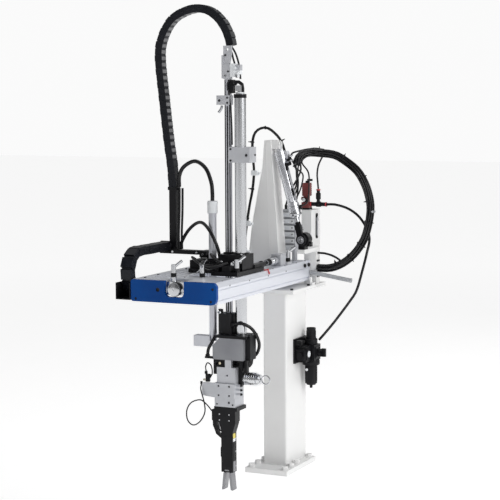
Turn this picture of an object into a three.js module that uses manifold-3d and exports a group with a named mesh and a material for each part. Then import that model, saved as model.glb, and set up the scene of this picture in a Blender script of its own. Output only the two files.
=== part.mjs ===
// Pneumatic sprue picker: pedestal, swinging beam, travelling carriage, vertical arm and a jaw gripper.
// Millimetres, +Z up. The origin is the middle of the base plate's underside. The beam runs along Y.
import * as THREE from 'three';
import { mergeVertices } from 'three/addons/utils/BufferGeometryUtils.js';
import Module from 'manifold-3d';

const wasm = await Module();
wasm.setup();

// ---------------------------------------------------------------- driving dimensions
const GAP = 0.3; // between touching parts
const BASE = { halfX: 72, halfY: 116, top: 16, boltX: 57, boltY: [-98, -50, -2, 98] };
const COLUMN = { halfX: 40, front: -45, back: 115, top: 563, wall: 5 };
const PIVOT = { x: -62, z: 604, shaft: 10, hub: 17, front: -37, back: 102 }; // swing axis, along Y
const HEAD = { plateTop: 575, left: -46, right: 66, back: 213, front: 140 };
const EYE = { x: 66.6, y: 22, z: 729, radius: 22 }; // the swing cylinder's fixed end
const CYLINDER = { y: 20, tilt: 15.65, length: 302 }; // leans left by tilt degrees from the eye
const BEAM = { left: -230, right: 44, front: -545, back: 135, low: 589, top: 652, cap: 12, rail: 14 };
const SLOT = { left: -112, right: 28, front: -406, back: -262 };
const DECK = { low: 628, split: -125 };
const ARM = { y: -297, tubeX: 5, tubeR: 17, railX: -34.5, railW: 18, railD: 12, top: 1175, foot: 470 };
const GUIDE = { x: -12, y: -281, radius: 4 };
const LIFT = { x: -89, radius: 12, low: 459, top: 831 };
const CARRIAGE = { low: 654, plate: 666, top: 712 };
const WRIST = { left: -62, right: 6, front: -345, back: -285, x: -28, y: -315 };
const GRIP = { left: -41, right: -3, front: -345, back: -318, top: 196, low: 56 };
const CHAIN = { thick: 25, wide: 30 };
const TRAY = { left: -281, right: -233, low: 591, top: 640 };
const FRL = { x: 69.5, y: 85 };

// ---------------------------------------------------------------- solids
function solidFrom(geometry) {
  const bare = geometry.index ? geometry.toNonIndexed() : geometry.clone();
  bare.deleteAttribute('normal');
  bare.deleteAttribute('uv');
  const merged = mergeVertices(bare, 1e-4);
  const vertProperties = new Float32Array(merged.attributes.position.array);
  const triVerts = new Uint32Array(merged.index.array);
  return new wasm.Manifold(new wasm.Mesh({ numProp: 3, vertProperties, triVerts }));
}

function box(x0, x1, y0, y1, z0, z1) {
  const geometry = new THREE.BoxGeometry(x1 - x0, y1 - y0, z1 - z0);
  geometry.translate((x0 + x1) / 2, (y0 + y1) / 2, (z0 + z1) / 2);
  return solidFrom(geometry);
}

function turnTo(geometry, axis) { // from along Z to along the axis
  if (axis === 'x') geometry.rotateY(Math.PI / 2);
  if (axis === 'y') geometry.rotateX(-Math.PI / 2);
  return geometry;
}

// A cylinder along an axis, from one coordinate to the other, centred on the other two.
function rod(axis, a, b, from, to, radius, sides = 24, radiusAtTo = radius) {
  const geometry = new THREE.CylinderGeometry(radiusAtTo, radius, to - from, sides);
  geometry.rotateX(Math.PI / 2);
  turnTo(geometry, axis);
  const middle = (from + to) / 2;
  if (axis === 'x') geometry.translate(middle, a, b);
  if (axis === 'y') geometry.translate(a, middle, b);
  if (axis === 'z') geometry.translate(a, b, middle);
  return solidFrom(geometry);
}

// An outline swept along an axis. Its points are (y, z), (x, z) or (x, y), in that order.
function plate(axis, points, from, to) {
  const shape = new THREE.Shape(points.map(([a, b]) => new THREE.Vector2(a, b)));
  const geometry = new THREE.ExtrudeGeometry(shape, { depth: to - from, bevelEnabled: false });
  const m = new THREE.Matrix4();
  if (axis === 'x') m.set(0, 0, 1, from, 1, 0, 0, 0, 0, 1, 0, 0, 0, 0, 0, 1);
  if (axis === 'y') m.set(1, 0, 0, 0, 0, 0, -1, to, 0, 1, 0, 0, 0, 0, 0, 1);
  if (axis === 'z') m.makeTranslation(0, 0, from);
  return solidFrom(geometry.applyMatrix4(m));
}

// A box outline with its own radius at each corner, anticlockwise from the low left one.
function rounded(x0, x1, y0, y1, radii, steps = 5) {
  const corners = [[x0, y0, 180], [x1, y0, 270], [x1, y1, 0], [x0, y1, 90]];
  return corners.flatMap(([x, y, start], i) => {
    const r = radii[i];
    const cx = x === x0 ? x + r : x - r;
    const cy = y === y0 ? y + r : y - r;
    const count = r > 0 ? steps : 0;
    return Array.from({ length: count + 1 }, (_, k) => {
      const a = THREE.MathUtils.degToRad(start + (count ? (90 * k) / count : 0));
      return [cx + r * Math.cos(a), cy + r * Math.sin(a)];
    });
  });
}

// A closed round tube on a smooth curve through the points.
function hose(points, radius, steps, sides = 8) {
  const path = new THREE.CatmullRomCurve3(points.map((p) => new THREE.Vector3(...p)));
  const section = new THREE.Shape(Array.from({ length: sides }, (_, k) => {
    const a = (2 * Math.PI * k) / sides;
    return new THREE.Vector2(radius * Math.cos(a), radius * Math.sin(a));
  }));
  return solidFrom(new THREE.ExtrudeGeometry(section, { steps, extrudePath: path, bevelEnabled: false }));
}

// A band of constant thickness about a plane line, given as (a, b) points, swept across the line's plane.
function band(axis, line, thick, from, to) {
  const curve = new THREE.CatmullRomCurve3(line.map(([a, b]) => new THREE.Vector3(a, b, 0)));
  const steps = Math.max(8, Math.round(curve.getLength() / 30));
  const side = (sign) => Array.from({ length: steps + 1 }, (_, k) => {
    const p = curve.getPointAt(k / steps);
    const t = curve.getTangentAt(k / steps);
    return [p.x - sign * t.y * thick / 2, p.y + sign * t.x * thick / 2];
  });
  return plate(axis, [...side(-1), ...side(1).reverse()], from, to);
}

function join(...solids) {
  return solids.reduce((a, b) => a.add(b));
}

function cut(solid, ...tools) {
  return tools.reduce((a, b) => a.subtract(b), solid);
}

// ---------------------------------------------------------------- materials
const FINISHES = {
  white: [0xf2f2f0, 0.45, 0.0],
  black: [0x17181b, 0.5, 0.1],
  rubber: [0x1a1b1e, 0.75, 0.0],
  aluminium: [0xb9bcc2, 0.4, 0.9],
  grey: [0x9a9da4, 0.5, 0.6],
  chrome: [0xd8dade, 0.15, 1.0],
  steel: [0xa5a7ac, 0.3, 1.0],
  blue: [0x0f4f9e, 0.35, 0.0],
  red: [0x8e2f2f, 0.5, 0.0],
};

const machine = new THREE.Group();

function add(name, finish, solid) {
  const { vertProperties, triVerts } = solid.getMesh();
  const geometry = new THREE.BufferGeometry();
  geometry.setAttribute('position', new THREE.BufferAttribute(new Float32Array(vertProperties), 3));
  geometry.setIndex(new THREE.BufferAttribute(new Uint32Array(triVerts), 1));
  const [color, roughness, metalness] = FINISHES[finish];
  const mesh = new THREE.Mesh(geometry, new THREE.MeshStandardMaterial({ color, roughness, metalness }));
  mesh.name = name;
  machine.add(mesh);
}

// ---------------------------------------------------------------- pedestal
function pedestal() {
  const { halfX, halfY, top, boltX, boltY } = BASE;
  const bolts = boltY.flatMap((y) => [-boltX, boltX].map((x) => join(
    rod('z', x, y, top - 1, top + 2.5, 12, 16),
    rod('z', x, y, top + 1, top + 11, 9.5, 6),
  )));
  add('base_plate', 'white', join(box(-halfX, halfX, -halfY, halfY, 0, top), ...bolts));

  const w = COLUMN.wall;
  const outer = rounded(-COLUMN.halfX, COLUMN.halfX, COLUMN.front, COLUMN.back, [6, 6, 6, 6], 3);
  const inner = box(-COLUMN.halfX + w, COLUMN.halfX - w, COLUMN.front + w, COLUMN.back - w, 0, 600);
  add('column', 'white', cut(plate('z', outer, top + GAP, COLUMN.top), inner));
}

function head() {
  const top = HEAD.plateTop;
  const lug = (y0, y1) => box(-80, HEAD.left + 1, y0, y1, COLUMN.top + GAP, 620);
  add('head_plate', 'white', join(
    box(HEAD.left, HEAD.right, -50, HEAD.back, COLUMN.top + GAP, top),
    lug(-50, PIVOT.front - 1),
    lug(PIVOT.back + 1, 115),
    rod('y', PIVOT.x, PIVOT.z, -45, 110, PIVOT.shaft),
    box(46, 64, 108, 130, top - 1, top + 7),
    rod('z', 54, 118, top + 6, 600, 5, 12),
  ));
  const lower = box(22, 63, HEAD.front, 172, top + GAP, 697);
  const upper = box(13, 47, HEAD.front, HEAD.back, 690, 814);
  const eyeArm = box(50, 74, EYE.y, HEAD.front + 1, 684, 697);
  const window = plate('x', rounded(176, 194, 720, 800, [9, 9, 9, 9], 4), 37, 48);
  add('head_block', 'white', cut(join(lower, upper, eyeArm), window));

  const ring = rod('y', EYE.x, EYE.z, EYE.y, EYE.y + 28, EYE.radius, 28);
  const foot = box(EYE.x - 14, EYE.x + 7.4, EYE.y, EYE.y + 28, 697 + GAP, EYE.z);
  const ear = box(EYE.x + 6, EYE.x + 25, EYE.y + 10, EYE.y + 24, 707, 721);
  const screw = rod('y', EYE.x + 20, 714, EYE.y + 4, EYE.y + 12, 4.5, 10);
  const bore = rod('y', EYE.x, EYE.z, EYE.y - 1, EYE.y + 29, 8);
  add('eye_bracket', 'black', cut(join(ring, foot, ear, screw), bore));

  const barStart = new THREE.Vector3(50, 130, 614);
  const barEnd = new THREE.Vector3(190, 130, 593);
  const barLine = [barStart, barStart.clone().lerp(barEnd, 0.5), barEnd].map((p) => p.toArray());
  const stub = rod('y', 57, 613, 128, HEAD.front - GAP, 6, 12);
  add('hose_bar', 'grey', join(hose(barLine, 7, 2, 16), stub));
}

function airPreparation() {
  const { x, y } = FRL;
  const wall = COLUMN.halfX + GAP;
  add('frl_body', 'black', join(
    box(wall, wall + 6, 8, 104, 334, 412),
    box(wall + 5, 79, 20, 60, 338, 388),
    box(wall + 5, 92, 59, 109, 338, 388),
    rod('z', x, y, 322 + GAP, 340, 27, 20),
    rod('z', x, y, 387, 406, 20, 20),
    rod('z', x, y, 405, 412, 16.5, 20),
    rod('x', y, 362, 91, 108, 13, 12),
    box(106, 120, y - 5, y + 5, 350, 376),
    rod('y', 62, 363, 10, 21, 9, 12),
    box(44, 66, 12, 30, 392, 408),
    rod('z', x, y, 262, 323, 19.5, 20),
    rod('z', x, y, 257, 263, 15, 20),
    rod('z', x, y, 246, 258, 4, 10),
    rod('y', x - 6, 308, y - 22, y - 15, 5, 10),
  ));
  add('frl_knob', 'black', rod('z', x, y, 412 + GAP, 441, 15, 20));
  add('dump_valve', 'red', join(
    box(8, 34, 150, 176, 814 + GAP, 838),
    box(13, 29, 154, 172, 837, 860),
    box(10, 33, 152, 176, 858, 900),
    rod('x', 163, 849, 4, 14, 6, 12),
  ));
  add('dump_lever', 'black', join(rod('z', 24, 164, 900 + GAP, 907, 7, 12), box(24, 40, 160, 168, 906, 913)));
  add('air_tee', 'black', join(
    rod('x', 163, 832, 34 + GAP, 92, 6.5, 12),
    rod('x', 163, 832, 56, 70, 9, 12),
    rod('z', 62, 163, 832, 880, 5.5, 12),
    rod('z', 62, 163, 848, 868, 8, 12),
  ));
}

// ---------------------------------------------------------------- swinging beam
function beamFrame() {
  const { left, right, front, back, low, top, cap, rail } = BEAM;
  const start = front + cap + GAP;
  const end = back - 8 - GAP;
  const rightOutline = [[right - rail, low], [right, low], [right, top - 15], [right - 5, top], [right - rail, top]];
  add('beam_side_right', 'aluminium', cut(
    plate('y', rightOutline, start, end),
    box(right - 3, right + 1, start - 1, end + 1, low + 9, low + 13),
    box(right - 3, right + 1, start - 1, end + 1, top - 24, top - 21),
  ));

  const grooves = [-200, -175, -150].map((x) => box(x, x + 6, start - 1, end + 1, top - 3, top + 1));
  const leftProfile = [[left, low], [left + rail, low], [left + rail, DECK.low], [DECK.split, DECK.low],
    [DECK.split, top], [left, top]];
  add('beam_side_left', 'aluminium', cut(plate('y', leftProfile, start, end), ...grooves));

  const deckX = [DECK.split + GAP, right - rail - GAP];
  const stopBay = box(-126, -56, start - 1, -478, DECK.low - 1, top + 1);
  add('deck_front', 'aluminium', cut(box(...deckX, start, SLOT.front, DECK.low, top), stopBay));

  const { x, z, shaft, hub } = PIVOT;
  add('deck_rear', 'aluminium', cut(
    join(
      box(...deckX, SLOT.back, end, 636, top),
      box(x - 8, x + 8, PIVOT.front, PIVOT.back, z, 637),
      rod('y', x, z, PIVOT.front, PIVOT.back, hub, 24),
    ),
    rod('y', x, z, PIVOT.front - 1, PIVOT.back + 1, shaft + 0.6, 24),
  ));

  const ends = [[right - 8, top - 12], [right - 24, top - 12], [left + 20, top - 12], [left + 20, low + 12]];
  const screws = ends.map(([sx, sz]) => rod('y', sx, sz, back - 1, back + 4, 5, 12));
  add('back_plate', 'aluminium', join(box(left, right, back - 8, back, low, top), ...screws));

  const capOutline = rounded(left - 2, right + 2, low - 1, top, [8, 18, 14, 8], 5);
  const notch = plate('y', rounded(-121, -58, 606, top + 20, [14, 14, 0, 0], 4), front - 1, front + cap + 1);
  const recesses = [[-216, 596], [28, 598], [34, 634]];
  add('end_cap', 'blue', cut(
    plate('y', capOutline, front, front + cap),
    notch,
    rod('y', -143, 625, front - 1, front + cap + 1, 6, 14),
    ...recesses.map(([sx, sz]) => rod('y', sx, sz, front - 1, front + 4, 4, 12)),
  ));
}

function chainTray() {
  const { left, right, low, top } = TRAY;
  const profile = [[left, low], [right, low], [right, top], [right - 2.5, top], [right - 2.5, low + 3],
    [left + 2.5, low + 3], [left + 2.5, top], [left, top]];
  add('chain_tray', 'black', plate('y', profile, -548, 60));
}

function clampLever(name, x, y, z, angle, lean = 52) {
  const reach = 32;
  const arm = new THREE.CylinderGeometry(4.2, 3.8, reach, 12);
  arm.translate(0, reach / 2, 0);
  arm.rotateZ(THREE.MathUtils.degToRad(-lean));
  arm.rotateX(Math.PI / 2);
  arm.rotateZ(THREE.MathUtils.degToRad(angle));
  arm.translate(x, y, z + 28);
  add(name, 'chrome', join(
    rod('z', x, y, z + GAP, z + 9, 6.5, 16),
    rod('z', x, y, z + 8, z + 36, 7.4, 16, 6.8),
    solidFrom(arm),
  ));
}

function beamFittings() {
  add('front_stop', 'chrome', join(
    rod('y', -93, 627, BEAM.front + 3, -528, 19.5, 32),
    box(-122, -66, -529, -484, 610, 648),
    rod('z', -108, -512, 647, 660, 9, 16),
  ));
  clampLever('front_lever', -108, -512, 660, 15);
  clampLever('deck_lever', -60, -424, BEAM.top, -75, 64);

  add('rear_stop', 'grey', cut(
    join(
      box(-4, 28, -60, -20, BEAM.top + GAP, 688),
      box(8, 34, -21, 16, BEAM.top + GAP, 660),
      rod('y', 12, 669, -110, -59, 11, 20),
      rod('y', 12, 669, -130, -109, 8.5, 16),
      rod('y', 12, 669, -21, -6, 8, 16),
    ),
    rod('y', 12, 669, -131, -40, 5, 12),
  ));
  add('shock_rod', 'black', join(
    rod('y', 12, 669, -174, -75, 4, 12),
    rod('y', 12, 669, -174, -164, 9, 16),
  ));
  clampLever('rear_lever', 24, 4, 660, 10);

  const outline = [[-115, 652 + GAP], [-6, 652 + GAP], [-34, 1041], [-56, 1041], [-63, 957], [-78, 884], [-100, 772]];
  const inside = [[-109, 662], [-12, 662], [-38, 1034], [-52, 1034], [-57, 957], [-72, 884], [-94, 772]];
  const lug = (y0, y1) => plate('y', [[-38, 1014], [-6, 1014], [-6, 1034], [-12, 1040], [-36, 1040]], y0, y1);
  add('fin', 'white', join(
    cut(plate('y', outline, 4, 62), plate('y', inside, 10, 63)),
    lug(8, 14),
    lug(26, 32),
    rod('y', -15, 1020, 13, 27, 4, 12),
  ));

  const ribs = Array.from({ length: 6 }, (_, k) => box(-31, 13, 82, 86, 690 + 21 * k, 703 + 21 * k));
  add('valve_manifold', 'grey', join(
    box(-32, 14, 85, 122, 682, 818),
    box(-26, -14, 92, 112, BEAM.top + GAP, 683),
    box(0, 10, 92, 112, BEAM.top + GAP, 683),
    ...ribs,
  ));
}

// ---------------------------------------------------------------- swing cylinder
// Parts are made upright over the eye and then leaned over.
function leaned(solid) {
  return solid.rotate([0, -CYLINDER.tilt, 0]).translate([EYE.x, CYLINDER.y, EYE.z]);
}

function swingCylinder() {
  const pin = CYLINDER.length;
  const nub = (s, x, y) => rod('z', x, y, s, s + 22, 6, 10);
  add('swing_barrel', 'steel', leaned(cut(
    join(
      rod('z', 0, 0, 78, 118, 19, 28),
      rod('z', 0, 0, 117, 262, 16, 28),
      rod('z', 0, 0, 261, 286, 18.5, 28),
      box(-7, 7, -5, 5, 285, pin + 8),
      box(15, 27, -8, 12, 262, 282),
      nub(240, 22, 2),
    ),
    rod('z', 0, 0, 70, 256, 6.6, 16),
    rod('y', 0, pin, -6, 6, 4.6, 14),
  )));
  const eyeDisc = rod('y', 0, 0, -12, 1, 14, 24);
  add('swing_rod', 'chrome', leaned(join(
    eyeDisc,
    box(-9, 9, -12, 0, 5, 40),
    box(-9, 9, -12, 10, 28, 46),
    rod('z', 0, 0, 45, 250, 6, 16),
  )));
}

// ---------------------------------------------------------------- carriage
function carriage() {
  const { low, plate: plateTop, top } = CARRIAGE;
  const outline = [[-150, -340], [-72, -340], [-72, -318], [-48, -318], [-48, -392], [38, -392], [38, -205], [-150, -205]];
  const railHalf = [ARM.railW / 2 + 0.6, ARM.railD / 2 + 0.6];
  const body = join(
    plate('z', outline, low, plateTop),
    box(-48, 30, -340, -262, plateTop - 1, top),
    box(-150, -74, -330, -262, plateTop - 1, 690),
    box(10, 34, -262, -178, plateTop - 1, 676),
  );
  add('carriage_block', 'black', cut(
    body,
    rod('z', ARM.tubeX, ARM.y, 640, 720, ARM.tubeR + 0.6, 32),
    box(ARM.railX - railHalf[0], ARM.railX + railHalf[0], ARM.y - railHalf[1], ARM.y + railHalf[1], 640, 720),
    rod('z', LIFT.x, ARM.y, 640, 700, LIFT.radius + GAP, 24),
    rod('z', GUIDE.x, GUIDE.y, 640, 720, GUIDE.radius + 0.6, 14),
  ));
  clampLever('carriage_lever', 29, -376, plateTop, 15);

  add('chain_arm', 'black', join(
    box(-277, -118, -285, -258, 702, 714),
    box(-140, -118, -262, -240, 690 + GAP, 714),
    box(-140, -118, -262, -250, 690 + GAP, 706),
    box(-243, -221, -284, -260, 713, 905),
  ));
  add('lift_tube', 'aluminium', join(
    rod('z', LIFT.x, ARM.y, LIFT.low, LIFT.top, LIFT.radius, 24),
    rod('z', LIFT.x, ARM.y, LIFT.top - 1, LIFT.top + 36, LIFT.radius + 3, 24),
    box(-148, LIFT.x - 4, ARM.y - 16, ARM.y + 12, 427, LIFT.low + 1),
    rod('z', LIFT.x, ARM.y, 445, LIFT.low + 1, LIFT.radius, 24),
  ));
}

// ---------------------------------------------------------------- vertical arm
function arm() {
  const { y, tubeX, tubeR, railX, railW, railD, top, foot } = ARM;
  const railBox = (grow, z0, z1) => box(
    railX - railW / 2 - grow, railX + railW / 2 + grow, y - railD / 2 - grow, y + railD / 2 + grow, z0, z1);
  add('arm_rail', 'aluminium', railBox(0, foot + GAP, 1230));
  add('arm_tube', 'steel', join(
    rod('z', tubeX, y, foot + GAP, top, tubeR, 32),
    rod('z', tubeX, y, top - 1, top + 11, tubeR + 1.5, 32),
    rod('z', tubeX, y, top + 10, top + 20, 8, 14),
    box(tubeX - 12, tubeX + 8, y - 7, y + 7, top + 19, top + 36),
  ));

  const gusset = [[-47, 1230 + GAP], [-20, 1230 + GAP], [-20, 1274], [-26, 1274], [-20, 1310], [-20, 1328], [-47, 1328]];
  add('arm_head', 'grey', cut(
    join(
      plate('y', gusset, y - 6, y),
      box(-47, -25, y - 8, y + 10, 1230 + GAP, 1274),
      box(-26, 8, y - 8, y + 10, 1244, 1272),
      box(-52, -46, y - 8, y + 30, 1232, 1300),
    ),
    rod('y', -34, 1317, y - 7, y + 1, 4, 12),
  ));
  add('tube_clamp', 'grey', cut(
    box(-24, 46, y - 24, y + 22, 984, 1030),
    rod('z', tubeX, y, 980, 1034, tubeR + GAP, 32),
    rod('y', 35, 1006, y - 25, y + 23, 4.5, 12),
  ).add(rod('z', GUIDE.x, GUIDE.y, foot + GAP, 1066, GUIDE.radius, 14)));
  add('rail_clamp', 'grey', cut(
    box(-66, -23, y - 15, y + 10, 1154, 1182),
    railBox(GAP, 1150, 1186),
    rod('y', -56, 1167, y - 16, y + 11, 4, 12),
  ));
  const leverCurve = [[-53, y - 4, 1152], [-54, y - 5, 1144], [-62, y - 9, 1131]];
  add('rail_clamp_lever', 'chrome', hose(leverCurve, 4, 4, 10));

  const shoe = rounded(-62, -17, y - 27, y + 14, [10, 10, 4, 4], 4);
  add('foot_plate', 'black', cut(
    join(
      box(-58, 43, -345, -262, foot - 8, foot),
      plate('z', shoe, foot - 1, 533),
      rod('z', -52, y - 17, 532, 545, 5, 12),
    ),
    railBox(GAP, foot, 534),
  ));
}

function wristUpper() {
  const { left, right, front, back } = WRIST;
  const coverOutline = [[-68, 397], [33, 397], [33, 462 - GAP], [-46, 462 - GAP], [-68, 438]];
  add('wrist_cover', 'grey', plate('y', coverOutline, front, -292));
  add('wrist_frame', 'black', cut(
    join(
      box(-66, -28, front + 2, back, 374 + GAP, 397 - GAP),
      box(-29, 32, front + 13, back, 374 + GAP, 397 - GAP),
      box(22, 31, front, front + 14, 374 + GAP, 397 - GAP),
      box(-66, left + 8 - GAP, front + 2, back, 352, 380),
      box(right + GAP, 18, -322, -272, 318, 396),
    ),
    box(-58, -32, front, back + 1, 379, 392),
    box(-4, 14, front + 10, back + 1, 379, 397),
  ));
  add('wrist_block', 'grey', cut(
    join(
      box(left + 8, right, front, back, 326 + GAP, 374),
      box(-27, -7, front, front + 12, 373, 397 - GAP),
    ),
    rod('y', -20, 350, front - 1, front + 10, 3, 12),
  ));
  add('plunger_body', 'chrome', join(
    rod('x', -300, 337, 18 + GAP, 58, 19.5, 28),
    rod('x', -300, 337, 57, 70, 15, 28),
  ));
  const ring = new THREE.TorusGeometry(13, 2, 8, 24);
  ring.rotateX(Math.PI / 2);
  ring.translate(86.5, -300, 337);
  add('pull_ring', 'chrome', join(solidFrom(ring), rod('x', -300, 337, 70 + GAP, 73, 4, 12)));

  const sheet = [[-101, 286], [left + 1, 282], [left + 1, 326], [-97, 326], [-101, 322]];
  const pins = [320, 307, 294].map((z) => rod('x', front + 12, z, right - 1, right + 14, 3.5, 10));
  add('wrist_mid', 'grey', cut(
    join(box(left, right, front - 6, back, 282, 326), plate('y', sheet, front - 6, front - 2), ...pins),
    ...[-46, -11].flatMap((x) => [290, 318].map((z) => rod('y', x, z, front - 7, front - 2, 3.2, 10))),
  ));
}

// ---------------------------------------------------------------- wrist and gripper
function wristTurning() {
  const { left, right, front, back } = WRIST;
  add('turn_block', 'grey', cut(
    box(left, right, front, back, 254 + GAP, 282 - GAP),
    rod('y', -15, 268, front - 1, front + 10, 4, 12),
  ));

  const { left: x0, right: x1, top, low } = GRIP;
  const shoulder = [[-72, 244], [-72, 211], [-58, 209], [-48, 208], [-43, 191], [x0, 178], [x0, low], [x1, low],
    [x1, 176], [6, 205], [6, 244]];
  const handle = [[-72, 214], [-60, 214], [-58, 196], [-55, 184], [-55, 175], [-40, 162], [-40, 154], [-61, 169],
    [-66, 182], [-72, 195]];
  add('gripper_body', 'black', cut(
    join(
      box(left - 2, right + 6, front, back + 4, 243, 254),
      plate('y', shoulder, GRIP.front, GRIP.back),
      box(-52, 0, GRIP.front + 2, -300, 206, 244),
      plate('y', handle, GRIP.front + 6, GRIP.front + 18),
      box(x0 - 5, x0 + 1, GRIP.front + 6, GRIP.back - 6, 100, 130),
      rod('y', (x0 + x1) / 2, 148, GRIP.back - 1, GRIP.back + 3, 8, 14),
    ),
    box(x0 + 3, x1 - 3, GRIP.front + 6, GRIP.back - 6, low - 1, top - 110),
  ));
}

function jaw(name, side) { // side is -1 for the left jaw
  const middle = (GRIP.left + GRIP.right) / 2;
  const inner = middle + side * 0.8;
  const placed = (outline, front, back) => {
    const points = outline.map(([x, z]) => [inner + side * x, z]);
    if (side < 0) points.reverse();
    return plate('y', points, front, back);
  };
  const shank = [[0, 78], [11, 78], [12, 53], [4.6, 53], [2.6, 60], [1.4, 66], [0, 74]];
  const blade = [[4.6, 54], [12, 54], [17.5, 1], [10.5, 2], [6.8, 30], [4.6, 50]];
  add(name, 'steel', join(placed(shank, GRIP.front + 8, GRIP.back - 8), placed(blade, GRIP.front + 1, GRIP.back + 2)));
}

// ---------------------------------------------------------------- energy chains and hoses
function chains() {
  const y = -272;
  const line = [[-232, 906], [-237, 972], [-248, 1048], [-262, 1169], [-275, 1296], [-265, 1356], [-234, 1406],
    [-193, 1431], [-145, 1441], [-100, 1430], [-64, 1399], [-42, 1360], [-34, 1329]];
  add('chain_vertical', 'black', band('y', line, CHAIN.thick, y - CHAIN.wide / 2, y + CHAIN.wide / 2));
  const radius = 57;
  const turn = Array.from({ length: 7 }, (_, k) => {
    const a = Math.PI * (0.5 + k / 6);
    return [-460 + radius * Math.cos(a), 668 + radius * Math.sin(a)];
  });
  const flat = [[-286 - GAP, 725], [-350, 725], [-420, 725], ...turn, [-420, 611], [-330, 611], [-240, 611], [-150, 611]];
  add('chain_horizontal', 'black', band('x', flat, 27, -276, -238));
}

function hoses() {
  add('hose_bundle', 'rubber', hose([[40, 46, 965], [40, 60, 987], [55, 85, 1001], [86, 110, 1000], [132, 130, 993],
    [168, 140, 971], [205, 145, 939], [230, 150, 892], [243, 150, 844], [243, 150, 809], [235, 150, 765],
    [221, 150, 723], [191, 150, 680], [152, 150, 648], [110, 150, 631], [65, 150, 629]], 11, 30));
  add('hose_supply', 'rubber', hose([[93, 97, 402], [112, 93, 422], [150, 95, 468], [195, 105, 531], [215, 112, 566],
    [231, 120, 628], [241, 132, 682], [238, 164, 726], [223, 172, 762], [197, 174, 796], [162, 170, 820],
    [121, 164, 832], [92 + GAP, 163, 832]], 4.2, 44));
  add('hose_riser', 'rubber', hose([[62, 163, 881], [60, 162, 905], [60, 158, 930], [68, 148, 956],
    [82, 134, 975]], 2.6, 12));
  add('fin_harness', 'rubber', hose([[-4, 50, 1000], [-12, 46, 1030], [-28, 38, 1057], [-56, 22, 1080], [-84, 8, 1070],
    [-94, 0, 1040], [-93, -4, 994], [-88, -6, 941], [-92, -8, 884], [-102, -10, 830], [-110, -14, 775],
    [-115, -20, 720], [-118, -30, 674]], 4.5, 34));
  add('hose_lift', 'rubber', hose([[-212, -276, 906], [-211, -276, 940], [-194, -278, 968], [-153, -284, 985],
    [-115, -290, 965], [-94, -295, 924], [LIFT.x, ARM.y, 890], [LIFT.x, ARM.y, LIFT.top + 37]], 6, 22));
  add('hose_carriage', 'rubber', hose([[-214, -270, 716], [-206, -272, 740], [-183, -276, 773], [-150, -287, 797],
    [-118, -306, 801], [-88, -322, 782], [-67, -327, 751], [-59, -321, 724], [-59, -310, 698], [-60, -305, 667]], 5.2, 22));
  add('hose_arch', 'rubber', hose([[-10, -318, 501], [4, -322, 505], [23, -318, 504], [42, -304, 490], [54, -292, 465],
    [56, -280, 438], [45, -270, 412], [30, -264, 399]], 5, 18));
  add('hose_wrist', 'rubber', hose([[-66, -330, 466], [-74, -335, 447], [-84, -340, 426], [-86, -342, 408]], 5, 8));
  add('sensor_cable', 'rubber', hose([[-104, -349, 320], [-103, -356, 306], [-96, -360, 288], [-88, -362, 264],
    [-86, -364, 236],
    [-102, -364, 208], [-125, -364, 195], [-145, -362, 208], [-148, -361, 238], [-134, -358, 262], [-106, -355, 272],
    [-90, -351, 262], [-81, -344, 249], [-75, -339, 238]], 2, 40));
}

pedestal();
head();
airPreparation();
beamFrame();
chainTray();
beamFittings();
swingCylinder();
carriage();
arm();
wristUpper();
wristTurning();
jaw('jaw_left', -1);
jaw('jaw_right', 1);
chains();
hoses();

export default machine;
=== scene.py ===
"""Looks for the pneumatic sprue picker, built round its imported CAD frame.

Route points and places are in millimetres in the row frame, as in part.mjs, and become metres when a mesh is made.
"""
import math
import random

import bmesh
import bpy
from mathutils import Euler, Matrix, Vector


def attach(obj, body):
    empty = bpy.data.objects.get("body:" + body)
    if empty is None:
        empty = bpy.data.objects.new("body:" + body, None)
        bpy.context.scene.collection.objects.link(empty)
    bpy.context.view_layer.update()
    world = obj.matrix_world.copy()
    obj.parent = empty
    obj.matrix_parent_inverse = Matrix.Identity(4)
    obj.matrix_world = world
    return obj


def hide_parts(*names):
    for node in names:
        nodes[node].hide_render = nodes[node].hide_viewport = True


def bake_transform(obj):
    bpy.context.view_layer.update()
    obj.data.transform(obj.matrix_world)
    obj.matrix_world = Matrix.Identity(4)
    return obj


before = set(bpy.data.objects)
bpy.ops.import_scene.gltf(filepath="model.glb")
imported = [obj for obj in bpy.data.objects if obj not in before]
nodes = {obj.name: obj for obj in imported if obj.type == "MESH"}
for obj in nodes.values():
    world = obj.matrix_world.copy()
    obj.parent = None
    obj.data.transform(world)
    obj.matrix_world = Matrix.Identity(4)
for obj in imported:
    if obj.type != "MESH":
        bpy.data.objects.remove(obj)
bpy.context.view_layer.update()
rng = random.Random(7)
MM = 0.001
X, Y, Z = Vector((1, 0, 0)), Vector((0, 1, 0)), Vector((0, 0, 1))


# ---- camera and light
CAMERA_PLACE = (1.98456, -4.42166, 1.17493)  # metres, fitted to the photo
CAMERA_LENS = 111.07  # mm on a 36 mm sensor
CAMERA_DOWN, CAMERA_TURN, CAMERA_ROLL = 5.64, 25.3, -0.26  # degrees


def add_camera():
    data = bpy.data.cameras.new("camera")
    data.sensor_width = 36
    data.lens = CAMERA_LENS
    data.clip_end = 60
    camera = bpy.data.objects.new("camera", data)
    camera.location = CAMERA_PLACE
    aim = Euler((math.radians(90 - CAMERA_DOWN), 0, math.radians(CAMERA_TURN))).to_matrix()
    camera.rotation_euler = (aim @ Matrix.Rotation(math.radians(CAMERA_ROLL), 3, "Z")).to_euler()
    bpy.context.scene.collection.objects.link(camera)
    bpy.context.scene.camera = camera


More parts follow.
